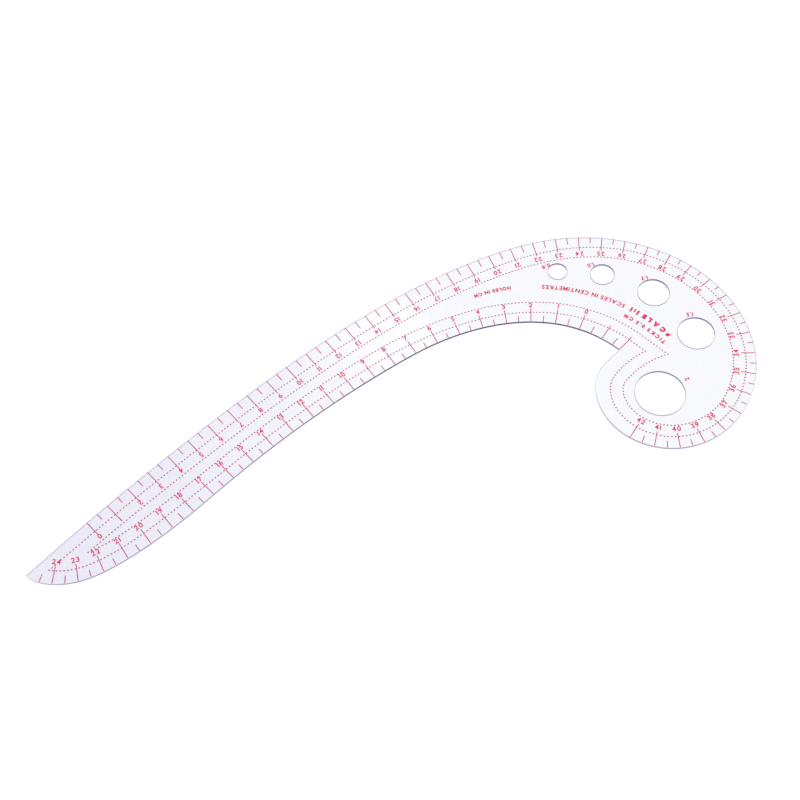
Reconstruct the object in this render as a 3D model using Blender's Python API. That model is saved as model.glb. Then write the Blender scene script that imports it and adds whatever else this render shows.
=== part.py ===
"""Comma-shaped curve ruler: a clear sheet with a centimetre scale printed along both edges.

The sheet lies flat on z = 0, its length along X, its scale side facing +Z.
Every edge is a chain of Euler spirals: the bend changes evenly between the listed scale marks.
"""
import bpy
from math import atan2, ceil, cos, hypot, pi, radians, sin, sqrt
from mathutils import Vector
from mathutils.geometry import tessellate_polygon

# ---------------------------------------------------------------- driving dimensions (mm)
MM = 0.001
SHEET_THICKNESS = 1.0
INK_THICKNESS = 0.02
INK_LIFT = 0.01
CHORD_ERROR = 0.01

# (scale mark in cm, bend in 1/m): minus bends right, seen walking away from the first mark
OUTER_EDGE = (
    (-2.93, -1.0), (6.0, -0.9), (13.0, -2.2), (20.0, -4.7), (22.0, -11.0), (28.0, -15.0),
    (36.0, -21.2), (40.0, -32.3), (44.0, -38.6), (45.7, -62.5), (46.81, 53.1),
)
INNER_EDGE = (
    (-1.86, 18.7), (0.0, 20.9), (4.5, 10.3), (6.8, 9.0), (7.6, 2.4), (16.5, 2.1),
    (18.4, -5.0), (20.0, -4.9), (21.5, -9.7), (23.0, -30.2), (24.5, -36.1), (25.11, -183.8),
)
OUTER_HEADING = 34.55
INNER_HEADING = 123.3

# round gauge holes: centre x, centre y, diameter
HOLES = (
    (81.8, 37.7, 8.0),
    (99.6, 31.6, 10.0),
    (117.4, 17.6, 13.0),
    (127.7, -5.7, 15.0),
    (104.6, -29.1, 20.0),
)
HOLE_SIDES = 48

# printed scales: first and last half-centimetre tick
OUTER_TICKS = (0.0, 42.0)
INNER_TICKS = (-1.5, 24.5)
TICK_WIDTH = 0.3
# (scale mark in cm, reach of a whole centimetre's tick)
OUTER_LONG_TICK = (
    (0.0, 7.4), (5.0, 8.1), (10.0, 7.8), (18.0, 7.8), (22.0, 7.5), (26.0, 6.6),
    (31.0, 6.0), (37.0, 6.1), (42.0, 7.0),
)
INNER_LONG_TICK = (
    (-1.86, 8.0), (0.0, 7.2), (4.5, 6.2), (8.0, 7.1), (18.5, 7.6), (24.0, 7.2),
)
# share of the first guide line's margin that a half centimetre's tick reaches
SHORT_TICK_SHARE = 0.63
RIM_GAP = 0.05
RIM_WIDTH = 0.06

# guide lines: (scale mark in cm, distance of the first line from the edge)
OUTER_MARGIN = (
    (-2.93, 4.8), (1.0, 5.4), (6.0, 6.2), (11.0, 6.6), (18.0, 6.7), (22.0, 6.3),
    (26.0, 4.8), (31.0, 4.1), (37.0, 4.1), (41.0, 5.2), (44.0, 5.7), (45.8, 6.4),
)
INNER_MARGIN = (
    (-1.86, 6.4), (0.0, 5.4), (2.0, 4.6), (4.5, 4.2), (6.0, 4.3), (8.0, 5.1),
    (14.0, 4.8), (16.0, 4.9), (18.5, 5.6), (21.0, 5.1), (25.11, 5.4),
)
LINE_SPACING = 5.0
LINE_WIDTH = 0.5
GUIDE_LEAVES_EDGE = 45.8
OUTER_RUN_ON = 32.0
OUTER_RUN_ON_BEND = -21.0
INNER_RUN_ON = 20.0

# name: base colour, roughness, alpha
MATERIALS = {
    "curve_sheet": ((0.90, 0.93, 0.99), 0.08, 0.30),
    "outer_scale": ((0.72, 0.06, 0.14), 0.45, 1.0),
    "inner_scale": ((0.70, 0.06, 0.14), 0.45, 1.0),
    "near_guide_line": ((0.74, 0.08, 0.17), 0.45, 1.0),
    "far_guide_line": ((0.74, 0.09, 0.18), 0.45, 1.0),
}


# ---------------------------------------------------------------- edges
def between(table, mark):
    """Value of a (mark, value) table at a scale mark, changing evenly between entries."""
    for (low, first), (high, last) in zip(table, table[1:]):
        if mark <= high:
            share = max(0.0, (mark - low) / (high - low))
            return first + share * (last - first)
    return table[-1][1]


def follow(edge, heading, marks, start=(0.0, 0.0)):
    """Walk an edge and return (x, y, heading) at each rising scale mark."""
    x, y = start
    here = edge[0][0]
    stops = []
    for mark in marks:
        steps = max(1, ceil((mark - here) * 40.0))
        length = (mark - here) / steps
        for _ in range(steps):
            turn = between(edge, here + length / 2) * length * 0.01
            x += cos(heading + turn / 2) * length * 10.0
            y += sin(heading + turn / 2) * length * 10.0
            heading += turn
            here += length
        stops.append((x, y, heading))
    return stops


def edge_marks(edge):
    """Scale marks along an edge, close together where it bends most."""
    mark = edge[0][0]
    last = edge[-1][0]
    marks = [mark]
    while mark < last:
        bend = max(abs(between(edge, mark)), abs(between(edge, mark + 0.3)), 2.0)
        mark += 0.1 * sqrt(8.0 * CHORD_ERROR * 1000.0 / bend)
        marks.append(min(mark, last))
    if marks[-1] - marks[-2] < 0.03:
        del marks[-2]
    return marks


def outer_stops(marks):
    """Places along the long outer edge, from the tip round the head to the notch."""
    return follow(OUTER_EDGE, radians(OUTER_HEADING), marks)


def inner_stops(marks):
    """Places along the inner edge, turned and scaled a hair so it runs from notch to tip."""
    notch = outer_stops([OUTER_EDGE[-1][0]])[0]
    tip = outer_stops([OUTER_EDGE[0][0]])[0]
    end = follow(INNER_EDGE, radians(INNER_HEADING), [INNER_EDGE[-1][0]])[0]
    turn = atan2(tip[1] - notch[1], tip[0] - notch[0]) - atan2(end[1], end[0])
    scale = hypot(tip[0] - notch[0], tip[1] - notch[1]) / hypot(end[0], end[1])
    stops = []
    for x, y, heading in follow(INNER_EDGE, radians(INNER_HEADING), marks):
        across = notch[0] + scale * (x * cos(turn) - y * sin(turn))
        up = notch[1] + scale * (x * sin(turn) + y * cos(turn))
        stops.append((across, up, heading + turn))
    return stops


def inset(stop, distance, along=0.0):
    """Point a distance inside the sheet from a place on its edge."""
    x, y, heading = stop
    return (
        x + sin(heading) * distance + cos(heading) * along,
        y - cos(heading) * distance + sin(heading) * along,
    )


def centre_shift():
    """Move that puts the middle of the sheet's box on the origin."""
    points = sheet_outline()
    xs = [x for x, y in points]
    ys = [y for x, y in points]
    return -(min(xs) + max(xs)) / 2, -(min(ys) + max(ys)) / 2


def sheet_outline():
    """The sheet's outline: outer edge, then inner edge back to the tip."""
    outer = outer_stops(edge_marks(OUTER_EDGE))
    inner = inner_stops(edge_marks(INNER_EDGE))
    return [stop[:2] for stop in outer] + [stop[:2] for stop in inner[1:-1]]


# ---------------------------------------------------------------- printed shapes
def scale_comb(stops_of, ticks, margin, long_tick):
    """One closed outline: a hairline along the edge with a tick every half centimetre."""
    first, last = ticks
    count = round((last - first) * 2) + 1
    marks = [first + 0.25 * step for step in range(2 * count - 1)]
    stops = stops_of(marks)
    rim = []
    teeth = []
    for step, (mark, stop) in enumerate(zip(marks, stops)):
        if step % 2:
            rim.append(inset(stop, RIM_GAP))
            teeth.append(inset(stop, RIM_GAP + RIM_WIDTH))
            continue
        is_long = round(mark * 2) % 2 == 0
        reach = between(long_tick, mark) if is_long else between(margin, mark) * SHORT_TICK_SHARE
        half = TICK_WIDTH / 2
        rim.append(inset(stop, RIM_GAP, -half))
        rim.append(inset(stop, RIM_GAP, half))
        teeth.append(inset(stop, RIM_GAP + RIM_WIDTH, -half))
        teeth.append(inset(stop, reach, -half))
        teeth.append(inset(stop, reach, half))
        teeth.append(inset(stop, RIM_GAP + RIM_WIDTH, half))
    return rim + teeth[::-1]


def crossing(first, second):
    """Where two open paths first cross: segment numbers and the meeting point."""
    for i, (a, b) in enumerate(zip(first, first[1:])):
        for j, (c, d) in enumerate(zip(second, second[1:])):
            ux, uy = b[0] - a[0], b[1] - a[1]
            vx, vy = d[0] - c[0], d[1] - c[1]
            cross = ux * vy - uy * vx
            if abs(cross) < 1e-9:
                continue
            s = ((c[0] - a[0]) * vy - (c[1] - a[1]) * vx) / cross
            t = ((c[0] - a[0]) * uy - (c[1] - a[1]) * ux) / cross
            if 0.0 <= s <= 1.0 and 0.0 <= t <= 1.0:
                return i, j, (a[0] + s * ux, a[1] + s * uy)
    raise ValueError("the two guide-line runs do not meet")


def run_on(stop, bend, length):
    """Stops a millimetre apart that go on from another at an even bend."""
    x, y, heading = stop
    stops = []
    turn = bend * MM
    for _ in range(round(length)):
        x += cos(heading + turn / 2)
        y += sin(heading + turn / 2)
        heading += turn
        stops.append((x, y, heading))
    return stops


def guide_loop(extra):
    """Closed guide line inside the whole outline, mitred at the tip and the notch."""
    outer_marks = [m for m in edge_marks(OUTER_EDGE) if m < GUIDE_LEAVES_EDGE]
    outer_marks.append(GUIDE_LEAVES_EDGE)
    inner_marks = edge_marks(INNER_EDGE)
    outer = outer_stops(outer_marks)
    inner = inner_stops(inner_marks)
    upper = [inset(s, between(OUTER_MARGIN, m) + extra) for m, s in zip(outer_marks, outer)]
    lower = [inset(s, between(INNER_MARGIN, m) + extra) for m, s in zip(inner_marks, inner)]
    for stop in run_on(outer[-1], OUTER_RUN_ON_BEND, OUTER_RUN_ON):
        upper.append(inset(stop, OUTER_MARGIN[-1][1] + extra))
    lower.insert(0, inset(inner[0], INNER_MARGIN[0][1] + extra, -INNER_RUN_ON))
    i, j, notch = crossing(upper[::-1], lower)
    upper = upper[: len(upper) - 1 - i] + [notch]
    lower = lower[j + 1:]
    i, j, tip = crossing(upper, lower[::-1])
    loop = [tip] + upper[i + 1:] + lower[: len(lower) - 1 - j]
    return loop[::-1]


def widen(loop, distance):
    """Anticlockwise loop grown outwards by a distance, with mitred corners."""
    moved = []
    for before, here, after in zip(loop[-1:] + loop[:-1], loop, loop[1:] + loop[:1]):
        first = (Vector(here) - Vector(before)).normalized()
        second = (Vector(after) - Vector(here)).normalized()
        normal = Vector((first.y + second.y, -first.x - second.x)).normalized()
        reach = distance / max(0.35, normal.dot(Vector((first.y, -first.x))))
        moved.append((here[0] + normal.x * reach, here[1] + normal.y * reach))
    return moved


def circle(x, y, diameter):
    """Points round a hole."""
    turns = [2 * pi * step / HOLE_SIDES for step in range(HOLE_SIDES)]
    return [(x + diameter / 2 * cos(a), y + diameter / 2 * sin(a)) for a in turns]


# ---------------------------------------------------------------- solids
def loop_area(loop):
    """Signed area of a closed loop: positive when it runs anticlockwise."""
    pairs = zip(loop, loop[1:] + loop[:1])
    return sum(a[0] * b[1] - b[0] * a[1] for a, b in pairs) / 2


def cap_triangles(loops, points):
    """Triangles that fill an outline round its openings, all facing up."""
    tops = tessellate_polygon([[Vector((x, y, 0)) for x, y in loop] for loop in loops])
    facing_up = sum(loop_area([points[i] for i in top]) for top in tops) > 0
    return tops if facing_up else [top[::-1] for top in tops]


def cut_shape(name, outline, openings, bottom, thickness):
    """A flat piece with its openings, from a height upwards."""
    loops = [outline if loop_area(outline) > 0 else outline[::-1]]
    loops += [loop[::-1] if loop_area(loop) > 0 else loop for loop in openings]
    points = [point for loop in loops for point in loop]
    count = len(points)
    verts = [(x * MM, y * MM, thickness * MM) for x, y in points]
    verts += [(x * MM, y * MM, 0.0) for x, y in points]
    faces = []
    for a, b, c in cap_triangles(loops, points):
        faces.append((a, b, c))
        faces.append((c + count, b + count, a + count))
    start = 0
    for loop in loops:
        for step in range(len(loop)):
            a = start + step
            b = start + (step + 1) % len(loop)
            faces.append((a, a + count, b + count, b))
        start += len(loop)
    mesh = bpy.data.meshes.new(name)
    mesh.from_pydata(verts, [], faces)
    mesh.materials.append(make_material(name))
    piece = bpy.data.objects.new(name, mesh)
    piece.location = (0.0, 0.0, bottom * MM)
    bpy.context.scene.collection.objects.link(piece)
    return piece


def make_material(name):
    """Principled material with the listed colour, roughness and alpha."""
    colour, roughness, alpha = MATERIALS[name]
    material = bpy.data.materials.new(name)
    material.use_nodes = True
    shader = material.node_tree.nodes["Principled BSDF"]
    shader.inputs["Base Color"].default_value = (*colour, 1.0)
    shader.inputs["Roughness"].default_value = roughness
    shader.inputs["Alpha"].default_value = alpha
    return material


def build():
    """Make the sheet and its four printed figures."""
    for item in list(bpy.data.objects):
        bpy.data.objects.remove(item, do_unlink=True)
    dx, dy = centre_shift()

    def place(loop):
        return [(x + dx, y + dy) for x, y in loop]

    lower_ink = SHEET_THICKNESS + INK_LIFT
    upper_ink = lower_ink + INK_THICKNESS + INK_LIFT
    holes = [circle(*hole) for hole in HOLES]
    comb = place(scale_comb(outer_stops, OUTER_TICKS, OUTER_MARGIN, OUTER_LONG_TICK))
    small_comb = place(scale_comb(inner_stops, INNER_TICKS, INNER_MARGIN, INNER_LONG_TICK))
    near = place(guide_loop(0.0))
    far = place(guide_loop(LINE_SPACING))
    half = LINE_WIDTH / 2
    cut_shape("curve_sheet", place(sheet_outline()), holes, 0.0, SHEET_THICKNESS)
    cut_shape("outer_scale", comb, [], lower_ink, INK_THICKNESS)
    cut_shape("inner_scale", small_comb, [], lower_ink, INK_THICKNESS)
    cut_shape("far_guide_line", widen(far, half), [widen(far, -half)], lower_ink, INK_THICKNESS)
    cut_shape("near_guide_line", widen(near, half), [widen(near, -half)], upper_ink, INK_THICKNESS)


build()
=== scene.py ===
"""Looks for the comma-shaped curve ruler: a clear printed sheet lying on a white surface."""
from math import atan2, ceil, cos, hypot, pi, radians, sin, sqrt

import bpy
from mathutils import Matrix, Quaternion, Vector
from mathutils.geometry import tessellate_polygon


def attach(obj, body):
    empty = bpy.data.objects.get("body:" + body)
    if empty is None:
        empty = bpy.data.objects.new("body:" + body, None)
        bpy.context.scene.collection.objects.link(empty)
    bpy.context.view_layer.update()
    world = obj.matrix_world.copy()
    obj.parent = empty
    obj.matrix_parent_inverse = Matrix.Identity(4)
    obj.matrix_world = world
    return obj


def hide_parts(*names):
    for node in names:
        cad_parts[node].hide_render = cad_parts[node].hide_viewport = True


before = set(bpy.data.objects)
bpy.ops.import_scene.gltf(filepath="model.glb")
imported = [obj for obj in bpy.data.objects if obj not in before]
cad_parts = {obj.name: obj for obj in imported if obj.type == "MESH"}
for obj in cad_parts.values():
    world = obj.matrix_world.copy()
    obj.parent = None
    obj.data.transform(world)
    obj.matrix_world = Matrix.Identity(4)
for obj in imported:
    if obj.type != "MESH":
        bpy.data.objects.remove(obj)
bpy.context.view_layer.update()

# ---------------------------------------------------------------- dimensions (mm)
MM = 0.001
TOP = 1.0
EDGE_BREAK = 0.14
SHARP_ANGLE = 30.0
HOLE_SIDES = 120

# From here to the run-ons, every value is the CAD's own. A scale mark is in cm along its edge.
# scale mark, bend in 1/m
OUTER_EDGE = (
    (-2.93, -1.0), (6.0, -0.9), (13.0, -2.2), (20.0, -4.7), (22.0, -11.0), (28.0, -15.0),
    (36.0, -21.2), (40.0, -32.3), (44.0, -38.6), (45.7, -62.5), (46.81, 53.1),
)
INNER_EDGE = (
    (-1.86, 18.7), (0.0, 20.9), (4.5, 10.3), (6.8, 9.0), (7.6, 2.4), (16.5, 2.1),
    (18.4, -5.0), (20.0, -4.9), (21.5, -9.7), (23.0, -30.2), (24.5, -36.1), (25.11, -183.8),
)
OUTER_HEADING = 34.55
INNER_HEADING = 123.3
# centre x, centre y, diameter
HOLES = (
    (81.8, 37.7, 8.0),
    (99.6, 31.6, 10.0),
    (117.4, 17.6, 13.0),
    (127.7, -5.7, 15.0),
    (104.6, -29.1, 20.0),
)
# scale mark, distance of the near guide line from the edge
OUTER_MARGIN = (
    (-2.93, 4.8), (1.0, 5.4), (6.0, 6.2), (11.0, 6.6), (18.0, 6.7), (22.0, 6.3),
    (26.0, 4.8), (31.0, 4.1), (37.0, 4.1), (41.0, 5.2), (44.0, 5.7), (45.8, 6.4),
)
INNER_MARGIN = (
    (-1.86, 6.4), (0.0, 5.4), (2.0, 4.6), (4.5, 4.2), (6.0, 4.3), (8.0, 5.1),
    (14.0, 4.8), (16.0, 4.9), (18.5, 5.6), (21.0, 5.1), (25.11, 5.4),
)
LINE_SPACING = 5.0
# past this mark the outer run of a guide line stops following the edge and runs on alone
GUIDE_LEAVES_EDGE = 45.8
OUTER_RUN_ON = 32.0
OUTER_RUN_ON_BEND = -21.0
INNER_RUN_ON = 20.0

# how finely an edge is followed: errors in mm, a bend in 1/m, stretches of edge in cm
STEPS_PER_CM = 40.0
CHORD_ERROR = 0.002
COARSE_CHORD_ERROR = 0.01
LEAST_BEND = 2.0
BEND_LOOK_AHEAD = 0.15
SHORTEST_STEP = 0.01
# a moved corner reaches out no further than this cosine of half its turn would send it
MITRE_LIMIT = 0.35
# two stretches whose cross product is smaller don't meet
PARALLEL = 1e-9

# unit changes
M_PER_CM = 0.01
MM_PER_CM = 10.0
CM_PER_MM = 0.1
MM_PER_M = 1000.0

# print
INK_BASE = 1.004
INK_DEPTH = 0.016
LINE_RISE = 0.004
TEXT_RISE = 0.002
TICK_WIDTH = 0.36
# scale mark, how far a long tick reaches from the edge
OUTER_LONG_TICK = (
    (0.0, 7.4), (5.0, 8.1), (10.0, 7.8), (18.0, 7.8), (22.0, 7.5), (26.0, 6.6),
    (31.0, 6.0), (37.0, 6.1), (42.0, 7.0),
)
INNER_LONG_TICK = (
    (-1.86, 8.0), (0.0, 7.2), (4.5, 6.2), (8.0, 7.1), (18.5, 7.6), (24.0, 7.2),
)
SHORT_TICK_SHARE = 0.63
DASH_PITCH = 1.43
DASH_LENGTH = 0.7
DASH_WIDTH = 0.48
DASH_CORNER = 0.1
NUMERAL_HEIGHT = 2.15
NUMERAL_WEIGHT = 0.09
HOLE_SIZE_HEIGHT = 1.9
DIGIT_GAP = 0.42
LETTER_GAP = 0.3
WORD_GAP_SHARE = 0.45
CAPITAL_SHARE = 0.729
# scale mark, how far a numeral's middle lies past the near guide line
OUTER_NUMERAL_PAST_LINE = ((0.0, 3.0), (22.0, 3.0), (30.0, 3.8), (37.0, 3.7), (42.0, 3.4))
INNER_NUMERAL_PAST_LINE = ((0.0, 3.75), (24.0, 3.75))
# text, centre x, centre y, reading direction in degrees
HOLE_SIZES = (
    ("0.8", 77.9, 41.2, 191.0),
    ("1.0", 96.2, 37.2, 186.0),
    ("1.3", 116.0, 25.2, 178.0),
    ("1.5", 128.1, 3.4, 170.0),
    ("2", 116.9, -25.6, 100.0),
)
# text, letter height, weight, then where its middle line starts, passes and ends
NOTES = (
    ("SCALES IN CENTIMETRES", 1.95, 0.1, (103.6, 13.7), (89.6, 24.5), (73.2, 31.5)),
    ("HOLES IN CM", 1.6, 0.13, (60.6, 34.2), (52.7, 34.5), (44.7, 33.7)),
    ("SCALE 1:1", 2.0, 0.28, (117.0, -4.6), (111.9, 4.1), (105.4, 12.0)),
    ("TICKS 0.5 CM", 1.6, 0.15, (113.9, -7.4), (108.6, 1.6), (102.0, 9.6)),
)


# ---------------------------------------------------------------- the ruler's edges
def between(table, mark):
    """Value of a (mark, value) table at a scale mark, changing evenly between entries."""
    for (low, first), (high, last) in zip(table, table[1:]):
        if mark <= high:
            share = max(0.0, (mark - low) / (high - low))
            return first + share * (last - first)
    return table[-1][1]


def follow(edge, heading, marks):
    """Walk an edge and return (x, y, heading) at each rising scale mark."""
    x, y = 0.0, 0.0
    here = edge[0][0]
    stops = []
    for mark in marks:
        steps = max(1, ceil((mark - here) * STEPS_PER_CM))
        length = (mark - here) / steps
        for _ in range(steps):
            turn = between(edge, here + length / 2) * length * M_PER_CM
            x += cos(heading + turn / 2) * length * MM_PER_CM
            y += sin(heading + turn / 2) * length * MM_PER_CM
            heading += turn
            here += length
        stops.append((x, y, heading))
    return stops


def edge_marks(edge, error=CHORD_ERROR):
    """Scale marks along an edge, close together where it bends most.

    A chord c of a circle of radius r strays c * c / (8 * r) from it, which is the error allowed.
    """
    mark = edge[0][0]
    last = edge[-1][0]
    marks = [mark]
    while mark < last:
        ahead = between(edge, mark + BEND_LOOK_AHEAD)
        bend = max(abs(between(edge, mark)), abs(ahead), LEAST_BEND)
        mark += CM_PER_MM * sqrt(8.0 * error * MM_PER_M / bend)
        marks.append(min(mark, last))
    if marks[-1] - marks[-2] < SHORTEST_STEP:
        del marks[-2]
    return marks


# The inner edge starts at the notch, turned and scaled there so that it ends at the tip.
NOTCH = follow(OUTER_EDGE, radians(OUTER_HEADING), [OUTER_EDGE[-1][0]])[0]
INNER_END = follow(INNER_EDGE, radians(INNER_HEADING), [INNER_EDGE[-1][0]])[0]
INNER_TURN = atan2(-NOTCH[1], -NOTCH[0]) - atan2(INNER_END[1], INNER_END[0])
INNER_SCALE = hypot(NOTCH[0], NOTCH[1]) / hypot(INNER_END[0], INNER_END[1])


def raw_outer(marks):
    """Stops on the outer edge, from the tip as origin."""
    return follow(OUTER_EDGE, radians(OUTER_HEADING), marks)


def raw_inner(marks):
    """Stops on the inner edge, from the same origin."""
    stops = []
    c, s = INNER_SCALE * cos(INNER_TURN), INNER_SCALE * sin(INNER_TURN)
    for x, y, heading in follow(INNER_EDGE, radians(INNER_HEADING), marks):
        stops.append((NOTCH[0] + c * x - s * y, NOTCH[1] + s * x + c * y, heading + INNER_TURN))
    return stops


def middle_of_outline():
    """Centre of the outline's box, which the frame puts on the origin."""
    stops = raw_outer(edge_marks(OUTER_EDGE, COARSE_CHORD_ERROR))
    stops += raw_inner(edge_marks(INNER_EDGE, COARSE_CHORD_ERROR))
    xs = [stop[0] for stop in stops]
    ys = [stop[1] for stop in stops]
    return (min(xs) + max(xs)) / 2, (min(ys) + max(ys)) / 2


MIDDLE = middle_of_outline()


def outer_stops(marks):
    """Stops on the outer edge, in the frame's place."""
    return [(x - MIDDLE[0], y - MIDDLE[1], h) for x, y, h in raw_outer(marks)]


def inner_stops(marks):
    """Stops on the inner edge, in the frame's place."""
    return [(x - MIDDLE[0], y - MIDDLE[1], h) for x, y, h in raw_inner(marks)]


def inset(stop, distance, along=0.0):
    """Point a distance inside the sheet from a place on its edge."""
    x, y, heading = stop
    return (
        x + sin(heading) * distance + cos(heading) * along,
        y - cos(heading) * distance + sin(heading) * along,
    )


def crossing(first, second):
    """Where two open paths first cross: segment numbers and the meeting point."""
    for i, (a, b) in enumerate(zip(first, first[1:])):
        for j, (c, d) in enumerate(zip(second, second[1:])):
            ux, uy = b[0] - a[0], b[1] - a[1]
            vx, vy = d[0] - c[0], d[1] - c[1]
            cross = ux * vy - uy * vx
            if abs(cross) < PARALLEL:
                continue
            s = ((c[0] - a[0]) * vy - (c[1] - a[1]) * vx) / cross
            t = ((c[0] - a[0]) * uy - (c[1] - a[1]) * ux) / cross
            if 0.0 <= s <= 1.0 and 0.0 <= t <= 1.0:
                return i, j, (a[0] + s * ux, a[1] + s * uy)
    raise ValueError("the two guide-line runs do not meet")


def run_on(stop, bend, length):
    """Stops a millimetre apart that go on from another at an even bend."""
    x, y, heading = stop
    stops = []
    turn = bend * MM
    for _ in range(round(length)):
        x += cos(heading + turn / 2)
        y += sin(heading + turn / 2)
        heading += turn
        stops.append((x, y, heading))
    return stops


def guide_runs(extra):
    """A guide line's two runs between its tip and notch corners: outer, then inner."""
    outer_marks = edge_marks(OUTER_EDGE, COARSE_CHORD_ERROR)
    outer_marks = [m for m in outer_marks if m < GUIDE_LEAVES_EDGE] + [GUIDE_LEAVES_EDGE]
    inner_marks = edge_marks(INNER_EDGE, COARSE_CHORD_ERROR)
    outer = outer_stops(outer_marks)
    inner = inner_stops(inner_marks)
    upper = [inset(s, between(OUTER_MARGIN, m) + extra) for m, s in zip(outer_marks, outer)]
    lower = [inset(s, between(INNER_MARGIN, m) + extra) for m, s in zip(inner_marks, inner)]
    for stop in run_on(outer[-1], OUTER_RUN_ON_BEND, OUTER_RUN_ON):
        upper.append(inset(stop, OUTER_MARGIN[-1][1] + extra))
    lower.insert(0, inset(inner[0], INNER_MARGIN[0][1] + extra, -INNER_RUN_ON))
    i, j, notch = crossing(upper[::-1], lower)
    upper = upper[: len(upper) - 1 - i] + [notch]
    lower = [notch] + lower[j + 1:]
    i, j, tip = crossing(upper, lower[::-1])
    return [tip] + upper[i + 1:], lower[: len(lower) - 1 - j] + [tip]


# ---------------------------------------------------------------- mesh building
def new_object(name, data):
    """An object made of some data, linked into the scene."""
    made = bpy.data.objects.new(name, data)
    bpy.context.scene.collection.objects.link(made)
    return made


class Shapes:
    """Collects thin solids and turns them into one object."""

    def __init__(self):
        self.verts = []
        self.faces = []

    def solid(self, outline, low, high, caps):
        """A flat solid over an anticlockwise outline, whose top faces are the given caps."""
        base = len(self.verts)
        count = len(outline)
        self.verts += [(x, y, high) for x, y in outline] + [(x, y, low) for x, y in outline]
        for cap in caps:
            self.faces.append(tuple(base + i for i in cap))
            self.faces.append(tuple(base + count + i for i in reversed(cap)))
        for i in range(count):
            j = (i + 1) % count
            self.faces.append((base + i, base + i + count, base + j + count, base + j))

    def bar(self, start, end, width, low, high, round_steps=3):
        """A straight printed stroke with rounded ends."""
        direction = atan2(end[1] - start[1], end[0] - start[0])
        outline = []
        for centre, turn in ((end, direction - pi / 2), (start, direction + pi / 2)):
            for step in range(round_steps + 1):
                angle = turn + pi * step / round_steps
                outline.append((
                    centre[0] + cos(angle) * width / 2,
                    centre[1] + sin(angle) * width / 2,
                ))
        self.solid(outline, low, high, [range(len(outline))])

    def build(self, name, material):
        """One object of everything collected, in metres."""
        mesh = bpy.data.meshes.new(name)
        mesh.from_pydata([(x * MM, y * MM, z * MM) for x, y, z in self.verts], [], self.faces)
        mesh.materials.append(material)
        return new_object(name, mesh)


def loop_area(loop):
    """Signed area of a closed loop: positive when it runs anticlockwise."""
    pairs = zip(loop, loop[1:] + loop[:1])
    return sum(a[0] * b[1] - b[0] * a[1] for a, b in pairs) / 2


def cap_triangles(loops, points):
    """Triangles that fill an outline round its openings, all facing up."""
    tops = tessellate_polygon([[Vector((x, y, 0)) for x, y in loop] for loop in loops])
    facing_up = sum(loop_area([points[i] for i in top]) for top in tops) > 0
    return tops if facing_up else [top[::-1] for top in tops]


def moved_loop(loop, distance):
    """A loop shifted to the right of its direction of travel, with mitred corners."""
    moved = []
    for before, here, after in zip(loop[-1:] + loop[:-1], loop, loop[1:] + loop[:1]):
        first = (Vector(here) - Vector(before)).normalized()
        second = (Vector(after) - Vector(here)).normalized()
        normal = Vector((first.y + second.y, -first.x - second.x)).normalized()
        reach = distance / max(MITRE_LIMIT, normal.dot(Vector((first.y, -first.x))))
        moved.append((here[0] + normal.x * reach, here[1] + normal.y * reach))
    return moved


def sheet_loops():
    """The outline, anticlockwise and inner edge first, then the holes, clockwise."""
    outer = outer_stops(edge_marks(OUTER_EDGE))
    inner = inner_stops(edge_marks(INNER_EDGE))
    outline = [stop[:2] for stop in outer] + [stop[:2] for stop in inner[1:-1]]
    loops = [outline[::-1]]
    for x, y, diameter in HOLES:
        turns = [-2 * pi * step / HOLE_SIDES for step in range(HOLE_SIDES)]
        loops.append([(x + diameter / 2 * cos(a), y + diameter / 2 * sin(a)) for a in turns])
    return loops


# material slots: the faces, then the plastic's copies with painted shade for the outer rim, the
# inner edge and the holes
FACE_SLOT, RIM_PAINTED_SHADE_SLOT, INNER_EDGE_PAINTED_SHADE_SLOT, HOLE_PAINTED_SHADE_SLOT = range(4)


def make_sheet(materials):
    """The clear sheet with its corners just broken, so that they catch the light.

    The materials are those of the faces, then the plastic's copies with painted shade for the outer
    rim, the inner edge and the holes.
    """
    full = sheet_loops()
    eased = [moved_loop(loop, -EDGE_BREAK) for loop in full]
    levels = (
        (TOP, eased), (TOP - EDGE_BREAK, full), (EDGE_BREAK, full), (0.0, eased),
    )
    verts = []
    for height, loops in levels:
        verts += [(x * MM, y * MM, height * MM) for loop in loops for x, y in loop]
    points = [point for loop in eased for point in loop]
    count = len(points)
    bottom = (len(levels) - 1) * count
    faces = []
    for a, b, c in cap_triangles(eased, points):
        faces.append((a, b, c))
        faces.append((c + bottom, b + bottom, a + bottom))
    slots = [FACE_SLOT] * len(faces)
    inner_points = len(edge_marks(INNER_EDGE)) - 2
    start = 0
    for loop in eased:
        for step in range(len(loop)):
            a = start + step
            b = start + (step + 1) % len(loop)
            for high in range(0, bottom, count):
                low = high + count
                faces.append((a + high, a + low, b + low, b + high))
                if loop is not eased[0]:
                    slots.append(HOLE_PAINTED_SHADE_SLOT)
                else:
                    slots.append(INNER_EDGE_PAINTED_SHADE_SLOT if step < inner_points else RIM_PAINTED_SHADE_SLOT)
        start += len(loop)
    mesh = bpy.data.meshes.new("clear_sheet")
    mesh.from_pydata(verts, [], faces)
    for material in materials:
        mesh.materials.append(material)
    for polygon, slot in zip(mesh.polygons, slots):
        polygon.material_index = slot
    mesh.shade_smooth()
    mesh.set_sharp_from_angle(angle=radians(SHARP_ANGLE))
    return new_object("clear_sheet", mesh)


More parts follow.
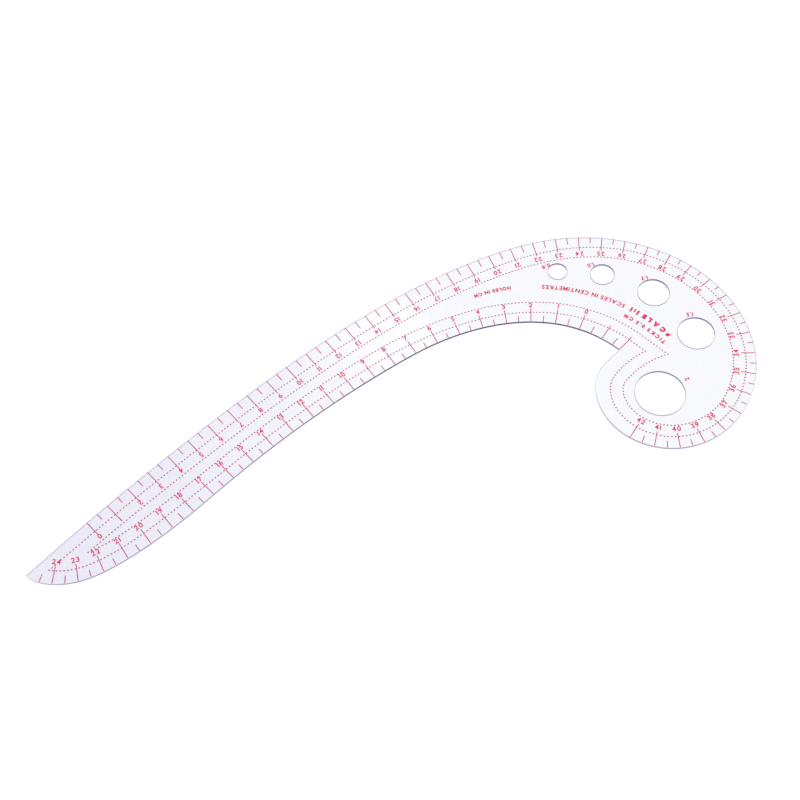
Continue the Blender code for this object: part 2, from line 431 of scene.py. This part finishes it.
# ---------------------------------------------------------------- print
def make_ticks(name, stops_of, first, last, margin, long_tick, material, extra=()):
    """The half-centimetre ticks of one scale, long on whole centimetres."""
    shapes = Shapes()
    marks = list(extra) + [first + 0.5 * i for i in range(round((last - first) * 2) + 1)]
    for mark, stop in zip(marks, stops_of(marks)):
        is_long = mark in extra or round(mark * 2) % 2 == 0
        reach = between(long_tick, mark) if is_long else between(margin, mark) * SHORT_TICK_SHARE
        half = TICK_WIDTH / 2
        start = inset(stop, EDGE_BREAK + half)
        end = inset(stop, reach - half)
        shapes.bar(start, end, TICK_WIDTH, INK_BASE, INK_BASE + INK_DEPTH)
    return shapes.build(name, material)


def dash_corners():
    """Outline of one dash about its own middle, with its corners clipped."""
    half, side, cut = DASH_LENGTH / 2, DASH_WIDTH / 2, DASH_CORNER
    return (
        (-half + cut, -side), (half - cut, -side), (half, -side + cut), (half, side - cut),
        (half - cut, side), (-half + cut, side), (-half, side - cut), (-half, -side + cut),
    )


def dashes_along(shapes, run, low, high):
    """Short dashes at an even pitch along a run of points."""
    lengths = [0.0]
    for a, b in zip(run, run[1:]):
        lengths.append(lengths[-1] + hypot(b[0] - a[0], b[1] - a[1]))
    count = max(1, round(lengths[-1] / DASH_PITCH))
    pitch = lengths[-1] / count
    segment = 0
    for number in range(count):
        place = number * pitch
        while segment < len(run) - 2 and lengths[segment + 1] < place:
            segment += 1
        a, b = run[segment], run[segment + 1]
        span = lengths[segment + 1] - lengths[segment]
        share = (place - lengths[segment]) / span
        x, y = a[0] + share * (b[0] - a[0]), a[1] + share * (b[1] - a[1])
        ux, uy = (b[0] - a[0]) / span, (b[1] - a[1]) / span
        outline = [(x + ux * p - uy * q, y + uy * p + ux * q) for p, q in dash_corners()]
        shapes.solid(outline, low, high, cap_triangles([outline], outline))


def make_guide_line(name, extra, material):
    """A dashed line round the sheet, an extra distance inside the margins."""
    shapes = Shapes()
    for run in guide_runs(extra):
        dashes_along(shapes, run, INK_BASE + LINE_RISE, INK_BASE + INK_DEPTH + LINE_RISE)
    return shapes.build(name, material)


def glyph_mesh(text, height, weight):
    """Points and faces of left-aligned text of a given letter height, as a thin solid."""
    curve = bpy.data.curves.new("glyphs", "FONT")
    curve.body = text
    curve.resolution_u = 4
    curve.size = height / CAPITAL_SHARE
    curve.offset = weight
    curve.extrude = INK_DEPTH / 2
    carrier = new_object("glyphs", curve)
    graph = bpy.context.evaluated_depsgraph_get()
    mesh = bpy.data.meshes.new_from_object(carrier.evaluated_get(graph))
    verts = [tuple(v.co) for v in mesh.vertices]
    faces = [tuple(p.vertices) for p in mesh.polygons]
    bpy.data.objects.remove(carrier)
    bpy.data.curves.remove(curve)
    bpy.data.meshes.remove(mesh)
    return verts, faces


def add_text(shapes, text, height, weight, place, gap):
    """Print text whose every letter stands where place says.

    place takes a distance from the text's middle and the text's length, and gives x, y and a
    direction in radians.
    """
    letters = []
    here = 0.0
    for letter in text:
        if letter == " ":
            here += height * WORD_GAP_SHARE
            continue
        verts, faces = glyph_mesh(letter, height, weight)
        low = min(v[0] for v in verts)
        width = max(v[0] for v in verts) - low
        letters.append((verts, faces, low, here + width / 2, width))
        here += width + gap
    length = here - gap
    for verts, faces, low, middle, width in letters:
        x, y, direction = place(middle - length / 2, length)
        c, s = cos(direction), sin(direction)
        base = len(shapes.verts)
        for px, py, pz in verts:
            px = px - low - width / 2
            py -= height / 2
            shapes.verts.append((
                x + c * px - s * py,
                y + s * px + c * py,
                INK_BASE + INK_DEPTH / 2 + TEXT_RISE + pz,
            ))
        shapes.faces += [tuple(base + i for i in face) for face in faces]


def straight(x, y, direction):
    """Placing on a straight line through a point."""
    c, s = cos(direction), sin(direction)
    return lambda along, length: (x + c * along, y + s * along, direction)


def arched(start, middle, end):
    """Placing on the circle through three points, spread out to fill it from end to end."""
    (ax, ay), (bx, by), (cx, cy) = start, middle, end
    d = 2 * (ax * (by - cy) + bx * (cy - ay) + cx * (ay - by))
    aa, bb, cc = ax * ax + ay * ay, bx * bx + by * by, cx * cx + cy * cy
    ux = (aa * (by - cy) + bb * (cy - ay) + cc * (ay - by)) / d
    uy = (aa * (cx - bx) + bb * (ax - cx) + cc * (bx - ax)) / d
    first = atan2(ay - uy, ax - ux)
    sweep = atan2(cy - uy, cx - ux) - first
    radius = hypot(ax - ux, ay - uy)
    turn = pi / 2 if sweep > 0 else -pi / 2

    def place(along, length):
        angle = first + sweep * (0.5 + along / length)
        return ux + cos(angle) * radius, uy + sin(angle) * radius, angle + turn

    return place


def make_numerals(name, stops_of, last, margin, past_line, material):
    """Numerals with their feet towards the edge, one on each whole centimetre."""
    shapes = Shapes()
    marks = [float(i) for i in range(last + 1)]
    for mark, stop in zip(marks, stops_of(marks)):
        x, y = inset(stop, between(margin, mark) + between(past_line, mark))
        add_text(shapes, str(int(mark)), NUMERAL_HEIGHT, NUMERAL_WEIGHT,
                 straight(x, y, stop[2] + pi), DIGIT_GAP)
    return shapes.build(name, material)


def make_hole_sizes(material):
    """The size beside each gauge hole."""
    shapes = Shapes()
    for text, x, y, direction in HOLE_SIZES:
        add_text(shapes, text, HOLE_SIZE_HEIGHT, NUMERAL_WEIGHT,
                 straight(x, y, radians(direction)), LETTER_GAP)
    return shapes.build("hole_sizes", material)


def make_notes(material):
    """Plain notes on units, bent along the ruler."""
    shapes = Shapes()
    for text, height, weight, start, middle, end in NOTES:
        add_text(shapes, text, height, weight, arched(start, middle, end), LETTER_GAP)
    return shapes.build("unit_notes", material)


# ---------------------------------------------------------------- materials
# name, the colour at each end of a way, the way (axis, first and last place), polish, clearness;
# for the sheet's faces, then painted shade on its outer rim, its inner edge and its holes:
# the three edge entries are the one plastic with its cut edges painted dark blue-grey as shade,
# the rim darker towards the front, the inner bay near-black navy towards the back and the holes
# darker towards the back. The faces go from near white at the head to lavender towards the tip.
SHEET_PLASTIC_AND_PAINTED_SHADE = (
    ("clear_plastic", ((0.928, 0.935, 0.966), (0.761, 0.756, 0.850)), ("X", 0.06, -0.12), 0.01, 1.0),
    ("rim_edge_painted_shade", ((0.52, 0.50, 0.66), (0.46, 0.44, 0.62)), ("Y", 0.01, -0.04), 0.15, 0.45),
    ("bay_edge_painted_shade", ((0.03, 0.025, 0.15), (0.46, 0.44, 0.62)), ("Y", 0.015, -0.035), 0.15, 0.45),
    ("hole_edge_painted_shade", ((0.19, 0.17, 0.38), (0.25, 0.23, 0.44)), ("Y", 0.01, -0.04), 0.15, 0.45),
)
PASSING_LIGHT = (0.99, 0.99, 0.995, 1.0)
# turn in degrees and size of the two directions of hairline scratches
SCRATCHES = ((28.0, 0.004), (-17.0, 0.005))
# name, colour where it lies thick, colour where it lies thin
INKS = (
    ("scale_ink", (0.62, 0.012, 0.095), (0.72, 0.03, 0.135)),
    ("tick_ink", (0.47, 0.015, 0.12), (0.57, 0.035, 0.16)),
    ("line_ink", (0.40, 0.02, 0.13), (0.48, 0.04, 0.18)),
)
# a colour mix node's sockets, which share their names and so are told apart by number
MIX_SHARE, MIX_FIRST, MIX_SECOND, MIX_RESULT = 0, 6, 7, 2


class Recipe:
    """A node material with a short way to add and join its nodes."""

    def __init__(self, name):
        self.material = bpy.data.materials.new(name)
        self.material.use_nodes = True
        self.tree = self.material.node_tree
        self.tree.nodes.clear()
        self.place = self.add("ShaderNodeTexCoord").outputs["Object"]

    def feed(self, socket, value):
        """Give an input a fixed value, or join another node's output to it."""
        if isinstance(value, bpy.types.NodeSocket):
            self.tree.links.new(value, socket)
        else:
            socket.default_value = value

    def add(self, kind, inputs=None, **settings):
        """A node with its settings and inputs; an input is a value or another's output."""
        node = self.tree.nodes.new(kind)
        for key, value in settings.items():
            setattr(node, key, value)
        for key, value in (inputs or {}).items():
            self.feed(node.inputs[key], value)
        return node

    def noise(self, size, detail=3.0, roughness=0.5, stretch=None):
        """Noise from 0 to 1 with features of about a given size in metres."""
        place = self.place
        if stretch:
            turn, scale = stretch
            place = self.add(
                "ShaderNodeMapping",
                {"Vector": place, "Rotation": (0.0, 0.0, radians(turn)), "Scale": scale},
            ).outputs["Vector"]
        inputs = {
            "Vector": place, "Scale": 1.0 / size, "Detail": detail, "Roughness": roughness,
        }
        return self.add("ShaderNodeTexNoise", inputs).outputs["Fac"]

    def spread(self, value, low, high, to_low=0.0, to_high=1.0, smooth=False):
        """A value's range from low to high moved to another range."""
        node = self.add("ShaderNodeMapRange", {
            "Value": value, "From Min": low, "From Max": high,
            "To Min": to_low, "To Max": to_high,
        })
        node.interpolation_type = "SMOOTHSTEP" if smooth else "LINEAR"
        return node.outputs["Result"]

    def maths(self, operation, first, second=0.0):
        """The result of one sum."""
        node = self.add("ShaderNodeMath", operation=operation)
        for socket, value in zip(node.inputs, (first, second)):
            self.feed(socket, value)
        return node.outputs["Value"]

    def blend(self, share, first, second):
        """A colour that share of the way from the first to the second."""
        node = self.add("ShaderNodeMix", data_type="RGBA")
        self.feed(node.inputs[MIX_SHARE], share)
        self.feed(node.inputs[MIX_FIRST], (*first, 1.0))
        self.feed(node.inputs[MIX_SECOND], (*second, 1.0))
        return node.outputs[MIX_RESULT]

    def bump(self, height, distance, strength):
        """A surface direction that follows small ups and downs."""
        inputs = {"Height": height, "Distance": distance, "Strength": strength}
        return self.add("ShaderNodeBump", inputs).outputs["Normal"]

    def finish(self, shader):
        """The material, with a shader as its surface."""
        self.add("ShaderNodeOutputMaterial", {"Surface": shader})
        return self.material


def scratches(recipe, turn, size):
    """Hairlines in one direction, here and there."""
    lines = recipe.noise(size, detail=1.0, roughness=0.4, stretch=(turn, (1.0, 0.012, 1.0)))
    from_middle = recipe.maths("ABSOLUTE", recipe.maths("SUBTRACT", lines, 0.5))
    fine = recipe.spread(from_middle, low=0.0, high=0.006, to_low=1.0, to_high=0.0)
    patches = recipe.spread(recipe.noise(0.03, detail=2.0), low=0.5, high=0.62, smooth=True)
    return recipe.maths("MULTIPLY", fine, patches)


def clear_plastic(name, tints_and_painted_shade, way, polish, clearness):
    """Clear plastic that keeps neither the lamps nor the sky from what lies under it.

    Its colour goes from the first to the second along a way: an axis and two places on it; on the
    cut edges these colours are painted shade.
    """
    recipe = Recipe(name)
    axis, first, last = way
    along = recipe.add("ShaderNodeSeparateXYZ", {"Vector": recipe.place}).outputs[axis]
    wander = (last - first) / 6
    patches = recipe.spread(recipe.noise(0.08), 0.3, 0.7, to_low=-wander, to_high=wander)
    change = recipe.spread(recipe.maths("ADD", along, patches), first, last, smooth=True)
    # the colour along the way: painted shade on the cut edges; on the faces, near white at the head
    # and lavender towards the tip
    tint_and_painted_shade = recipe.blend(change, *tints_and_painted_shade)
    hairlines = recipe.maths("ADD", *[scratches(recipe, turn, size) for turn, size in SCRATCHES])
    haze = recipe.noise(0.012, detail=4.0, roughness=0.6)
    dullness = recipe.spread(haze, 0.35, 0.75, to_low=polish, to_high=polish + 0.05)
    rough = recipe.maths("ADD", dullness, recipe.maths("MULTIPLY", hairlines, 0.12))
    furrows = recipe.maths("MULTIPLY", hairlines, -0.15)
    ripple = recipe.maths("ADD", recipe.noise(0.02, detail=2.0), furrows)
    shader = recipe.add("ShaderNodeBsdfPrincipled", {
        "Base Color": tint_and_painted_shade,
        "Roughness": rough,
        "IOR": 1.49,
        "Transmission Weight": clearness,
        "Normal": recipe.bump(ripple, distance=0.00004, strength=0.5),
    }).outputs["BSDF"]
    clear = recipe.add("ShaderNodeBsdfTransparent", {"Color": PASSING_LIGHT}).outputs["BSDF"]
    rays = recipe.add("ShaderNodeLightPath").outputs
    for kind in ("Is Diffuse Ray", "Is Shadow Ray"):
        mix = recipe.add("ShaderNodeMixShader", {0: rays[kind], 1: shader, 2: clear})
        shader = mix.outputs["Shader"]
    return recipe.finish(shader)


def red_ink(name, deep, thin):
    """Screen-printed ink: slightly uneven in thickness, with a fine-grained satin skin."""
    recipe = Recipe(name)
    cover = recipe.noise(0.0016, detail=3.0, roughness=0.6)
    patches = recipe.noise(0.02, detail=2.0, roughness=0.5)
    share = recipe.spread(recipe.maths("ADD", cover, patches), low=0.8, high=1.25)
    grain = recipe.noise(0.00025, detail=2.0, roughness=0.6)
    shader = recipe.add("ShaderNodeBsdfPrincipled", {
        "Base Color": recipe.blend(share, deep, thin),
        "Roughness": recipe.spread(grain, 0.3, 0.7, to_low=0.32, to_high=0.55),
        "IOR": 1.35,
        "Normal": recipe.bump(
            recipe.maths("ADD", grain, cover), distance=0.00002, strength=0.6),
    }).outputs["BSDF"]
    return recipe.finish(shader)


def white_floor():
    """Smooth white card."""
    recipe = Recipe("white_card")
    fibre = recipe.noise(0.0012, detail=3.0, roughness=0.6)
    cloud = recipe.noise(0.15, detail=2.0, roughness=0.5)
    shader = recipe.add("ShaderNodeBsdfPrincipled", {
        "Base Color": recipe.blend(cloud, (0.93, 0.93, 0.93), (0.95, 0.95, 0.95)),
        "Roughness": recipe.spread(fibre, 0.3, 0.7, to_low=0.75, to_high=0.9),
        "IOR": 1.3,
        "Normal": recipe.bump(fibre, distance=0.00002, strength=0.3),
    }).outputs["BSDF"]
    return recipe.finish(shader)


# ---------------------------------------------------------------- stage (m)
CAMERA_PLACE = (-0.03321, -0.25404, 0.43510)
CAMERA_AIM = (0.00365, -0.00736, 0.001)
CAMERA_ROLL = -4.74
CAMERA_LENS = 56.43
CAMERA_SENSOR = 36.0
CAMERA_NEAREST = 0.01
CAMERA_FARTHEST = 20.0
FLOOR_HALF_SIZE = 3.0
FLOOR_LEVEL = -0.0002
SKY_STRENGTH = 0.96
SOFTBOX_PLACE = (-0.5, 0.6, 1.4)
SOFTBOX_SIZE = 1.6
SOFTBOX_POWER = 5.75


def make_camera():
    """The photo's view."""
    data = bpy.data.cameras.new("camera")
    data.lens = CAMERA_LENS
    data.sensor_width = CAMERA_SENSOR
    data.clip_start = CAMERA_NEAREST
    data.clip_end = CAMERA_FARTHEST
    camera = new_object("camera", data)
    view = Vector(CAMERA_AIM) - Vector(CAMERA_PLACE)
    camera.location = CAMERA_PLACE
    camera.rotation_mode = "QUATERNION"
    roll = Quaternion((0, 0, 1), radians(CAMERA_ROLL))
    camera.rotation_quaternion = view.to_track_quat("-Z", "Y") @ roll
    bpy.context.scene.camera = camera


def make_floor():
    """A white card under the ruler, which isn't part of it."""
    mesh = bpy.data.meshes.new("floor")
    half, z = FLOOR_HALF_SIZE, FLOOR_LEVEL
    corners = [(-half, -half, z), (half, -half, z), (half, half, z), (-half, half, z)]
    mesh.from_pydata(corners, [], [(0, 1, 2, 3)])
    mesh.materials.append(white_floor())
    piece = new_object("floor", mesh)


def make_light():
    """An even white sky and one large lamp, above the ruler and behind it to the left."""
    world = bpy.data.worlds.new("studio")
    bpy.context.scene.world = world
    world.use_nodes = True
    background = world.node_tree.nodes["Background"]
    background.inputs["Color"].default_value = (1.0, 1.0, 1.0, 1.0)
    background.inputs["Strength"].default_value = SKY_STRENGTH
    data = bpy.data.lights.new("softbox", "AREA")
    data.shape = "RECTANGLE"
    data.size = SOFTBOX_SIZE
    data.size_y = SOFTBOX_SIZE
    data.energy = SOFTBOX_POWER
    lamp = new_object("softbox", data)
    lamp.location = SOFTBOX_PLACE
    lamp.rotation_mode = "QUATERNION"
    lamp.rotation_quaternion = (-Vector(SOFTBOX_PLACE)).to_track_quat("-Z", "Y")


# ---------------------------------------------------------------- assembly
def main():
    """The ruler's pieces on the frame's one body, then the stage."""
    # the sheet's plastic, then its copies with painted shade on the outer rim, the inner edge and
    # the holes
    plastic_and_painted_shade_copies = [clear_plastic(*finish) for finish in SHEET_PLASTIC_AND_PAINTED_SHADE]
    ink, tick_ink, line_ink = [red_ink(*colours) for colours in INKS]
    sheet = make_sheet(plastic_and_painted_shade_copies)
    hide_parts("curve_sheet")
    outer = make_ticks(
        "outer_ticks", outer_stops, 0.0, 42.0, OUTER_MARGIN, OUTER_LONG_TICK, tick_ink)
    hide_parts("outer_scale")
    inner = make_ticks(
        "inner_ticks", inner_stops, -1.5, 24.5, INNER_MARGIN, INNER_LONG_TICK, tick_ink,
        extra=(INNER_EDGE[0][0],))
    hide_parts("inner_scale")
    near = make_guide_line("near_guide_dashes", 0.0, line_ink)
    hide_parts("near_guide_line")
    far = make_guide_line("far_guide_dashes", LINE_SPACING, line_ink)
    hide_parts("far_guide_line")
    outer_numerals = make_numerals(
        "outer_numerals", outer_stops, 42, OUTER_MARGIN, OUTER_NUMERAL_PAST_LINE, ink)
    inner_numerals = make_numerals(
        "inner_numerals", inner_stops, 24, INNER_MARGIN, INNER_NUMERAL_PAST_LINE, ink)
    sizes = make_hole_sizes(ink)
    notes = make_notes(ink)
    slots = {
        sheet: "clear_sheet", outer: "scale_ink", inner: "scale_ink",
        near: "line_ink", far: "line_ink",
        outer_numerals: "scale_ink", inner_numerals: "scale_ink", sizes: "scale_ink",
        notes: "scale_ink",
    }
    # the print neither shades the floor nor colours it: the photo shows no haze there
    for piece, slot in slots.items():
        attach(piece, "root")
        piece.visible_shadow = piece is sheet
        piece.visible_diffuse = piece is sheet
    make_camera()
    make_floor()
    make_light()
    bpy.context.scene.view_settings.view_transform = "Standard"


main()
